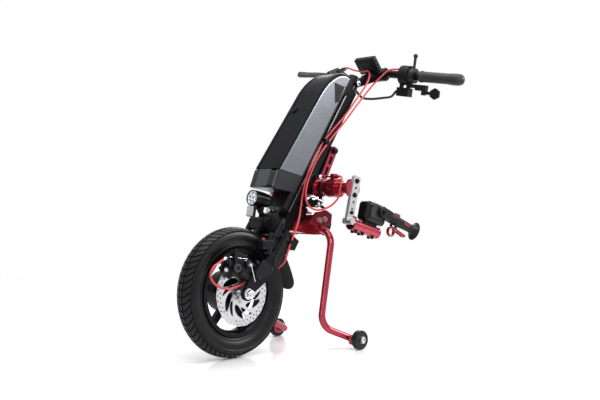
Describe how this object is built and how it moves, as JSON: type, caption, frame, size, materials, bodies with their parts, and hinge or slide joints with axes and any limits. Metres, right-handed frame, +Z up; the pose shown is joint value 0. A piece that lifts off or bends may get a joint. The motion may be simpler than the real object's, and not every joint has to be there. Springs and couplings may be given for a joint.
{
  "type": "wheelchair power assist",
  "caption": "Front-wheel electric drive that docks to a manual wheelchair, with hub motor, leaning battery column, handlebar, folding stand and a pair of docking claws.",
  "frame": {"origin": "middle of the footprint, on the floor", "axes": "+X to the rider's left, -Y ahead in the direction of travel, +Z up"},
  "size_m": [0.5414, 0.7622, 0.7842],
  "materials": {
    "tyre": "matt rubber",
    "black_metal": "satin black",
    "dark_alloy": "satin dark grey",
    "steel": "brushed",
    "chrome": "bright",
    "steel_core": "matt",
    "black_plastic": "fine grain",
    "clear_plastic": "glossy",
    "rubber": "matt",
    "black_cable": "satin",
    "red_cable": "glossy",
    "clear_glass": "clear",
    "red_metal": "anodised red",
    "gloss_black": "glossy",
    "gloss_grey": "glossy",
    "cell_wrap": "shrink wrap",
    "aluminium": "satin"
  },
  "bodies": {
    "frame": {"column": "black_metal", "headset_bearings": "steel", "battery_dock": "black_plastic", "controller": "dark_alloy", "gusset_plates": "red_metal", "frame_bolts": "steel", "stand_bracket": "red_metal", "cross_tube": "red_metal", "link_plates": "red_metal"},
    "steering": {"wheel_axle": "steel", "axle_nuts": "chrome", "motor_stator": "steel_core", "fork": "black_metal", "mudguard": "black_plastic", "caliper_body": "dark_alloy", "brake_pads": "steel_core", "stem": "black_metal", "cockpit_bolts": "steel", "handlebar": "black_metal", "grips": "rubber", "display_housing": "black_plastic", "brake_lever_body": "dark_alloy", "left_control_pod": "black_plastic", "harness_cable": "black_cable", "brake_cable": "red_cable", "lock_cable": "red_cable"},
    "wheel": {"tyre": "tyre", "wheel_rim": "black_metal", "motor_shell": "dark_alloy", "motor_cover": "dark_alloy", "hub_bearings": "steel", "brake_rotor": "steel"},
    "lamp": {"headlight": "black_plastic", "headlight_lens": "clear_glass", "front_reflector": "clear_plastic"},
    "brake_lever": {"brake_lever": "dark_alloy"},
    "caliper_arm": {"caliper_arm": "dark_alloy"},
    "lock_lever": {"lock_lever": "black_plastic"},
    "thumb_paddle": {"thumb_paddle": "black_plastic"},
    "latch": {"latch_rod": "steel"},
    "battery": {"battery_case": "gloss_black", "battery_side_panels": "gloss_grey", "battery_cap": "black_plastic", "battery_cells": "cell_wrap"},
    "key": {"key_lock": "chrome"},
    "stand": {"stand_frame": "red_metal"},
    "roller_left": {"roller_left": "rubber"},
    "roller_right": {"roller_right": "rubber"},
    "coupling": {"cross_shaft": "red_metal", "hanger_bars": "aluminium", "hanger_screws": "steel", "clamp_sleeves": "red_metal"},
    "claw_left": {"claw_left": "black_plastic"},
    "claw_handle_left": {"claw_handle_left": "black_plastic"},
    "trigger_left": {"trigger_left": "black_plastic"},
    "button_left": {"button_left": "black_plastic"},
    "claw_right": {"claw_right": "black_plastic"},
    "claw_handle_right": {"claw_handle_right": "black_plastic"},
    "trigger_right": {"trigger_right": "black_plastic"},
    "button_right": {"button_right": "black_plastic"}
  },
  "joints": [
    {"name": "steering_turn", "type": "hinge", "parent": "frame", "child": "steering", "pos_m": [0, 0.06418, 0.48313], "axis": [0, 0.5736, 0.8192], "range_deg": [-40, 40], "deforming": ["brake_cable", "lock_cable"]},
    {"name": "wheel_spin", "type": "hinge", "parent": "steering", "child": "wheel", "pos_m": [0, -0.2226, 0.159], "axis": [1, 0, 0], "continuous": true},
    {"name": "lamp_tilt", "type": "hinge", "parent": "steering", "child": "lamp", "pos_m": [0, -0.13062, 0.35667], "axis": [1, 0, 0], "range_deg": [-8, 8]},
    {"name": "brake_squeeze", "type": "hinge", "parent": "steering", "child": "brake_lever", "pos_m": [-0.17112, 0.3048, 0.74618], "axis": [0.0598, -0.5412, -0.8387], "range_deg": [0, 25], "stiffness_Nm_per_rad": 0.8, "springref_deg": -17.19},
    {"name": "caliper_pull", "type": "hinge", "parent": "steering", "child": "caliper_arm", "pos_m": [0.0529, -0.25692, 0.22354], "axis": [1, 0, 0], "range_deg": [0, 18]},
    {"name": "lock_pull", "type": "hinge", "parent": "steering", "child": "lock_lever", "pos_m": [0.11094, 0.34697, 0.72326], "axis": [0.9816, 0.1205, -0.1478], "range_deg": [-45, 0]},
    {"name": "throttle_push", "type": "hinge", "parent": "steering", "child": "thumb_paddle", "pos_m": [0.14338, 0.35095, 0.67399], "axis": [-0.1467, -0.018, -0.989], "range_deg": [0, 20], "stiffness_Nm_per_rad": 0.05, "springref_deg": -17.19},
    {"name": "latch_slide", "type": "slide", "parent": "frame", "child": "latch", "axis": [1, 0, 0], "range_m": [0, 0.006]},
    {"name": "battery_slide", "type": "slide", "parent": "frame", "child": "battery", "axis": [0, 0.5736, 0.8192], "range_m": [0, 0.06]},
    {"name": "key_turn", "type": "hinge", "parent": "battery", "child": "key", "pos_m": [-0.017, 0.00824, 0.61508], "axis": [0, -0.8192, 0.5736], "range_deg": [0, 90]},
    {"name": "stand_fold", "type": "hinge", "parent": "frame", "child": "stand", "pos_m": [0, 0.0354, 0.304], "axis": [1, 0, 0], "range_deg": [-48, 0]},
    {"name": "roller_spin_left", "type": "hinge", "parent": "stand", "child": "roller_left", "pos_m": [0.1514, 0.0744, 0.025], "axis": [1, 0, 0], "continuous": true},
    {"name": "roller_spin_right", "type": "hinge", "parent": "stand", "child": "roller_right", "pos_m": [-0.1514, 0.0744, 0.025], "axis": [1, 0, 0], "continuous": true},
    {"name": "coupling_tilt", "type": "hinge", "parent": "frame", "child": "coupling", "pos_m": [0, 0.06032, 0.41137], "axis": [1, 0, 0], "range_deg": [0, 45]},
    {"name": "claw_slide_left", "type": "slide", "parent": "coupling", "child": "claw_left", "axis": [0, 0.9659, -0.2588], "range_m": [0, 0.03]},
    {"name": "claw_lift_left", "type": "hinge", "parent": "claw_left", "child": "claw_handle_left", "pos_m": [0.1709, 0.14272, 0.34891], "axis": [1, 0, 0], "range_deg": [0, 50]},
    {"name": "trigger_squeeze_left", "type": "hinge", "parent": "claw_handle_left", "child": "trigger_left", "pos_m": [0.1624, 0.19563, 0.31007], "axis": [1, 0, 0], "range_deg": [0, 8], "stiffness_Nm_per_rad": 0.2, "springref_deg": -17.19},
    {"name": "button_press_left", "type": "slide", "parent": "claw_handle_left", "child": "button_left", "axis": [0, -0.342, -0.9397], "range_m": [0, 0.003], "stiffness_N_per_m": 80, "springref_m": -0.0006},
    {"name": "claw_slide_right", "type": "slide", "parent": "coupling", "child": "claw_right", "axis": [0, 0.9659, -0.2588], "range_m": [0, 0.03]},
    {"name": "claw_lift_right", "type": "hinge", "parent": "claw_right", "child": "claw_handle_right", "pos_m": [-0.1709, 0.14272, 0.34891], "axis": [1, 0, 0], "range_deg": [0, 50]},
    {"name": "trigger_squeeze_right", "type": "hinge", "parent": "claw_handle_right", "child": "trigger_right", "pos_m": [-0.1624, 0.19563, 0.31007], "axis": [1, 0, 0], "range_deg": [0, 8], "stiffness_Nm_per_rad": 0.2, "springref_deg": -17.19},
    {"name": "button_press_right", "type": "slide", "parent": "claw_handle_right", "child": "button_right", "axis": [0, -0.342, -0.9397], "range_m": [0, 0.003], "stiffness_N_per_m": 80, "springref_m": -0.0006}
  ],
  "couplings": [
    {"joint": "caliper_pull", "follows": "brake_squeeze", "ratio": 0.72},
    {"joint": "latch_slide", "follows": "lock_pull", "m_per_rad": -0.007639}
  ]
}
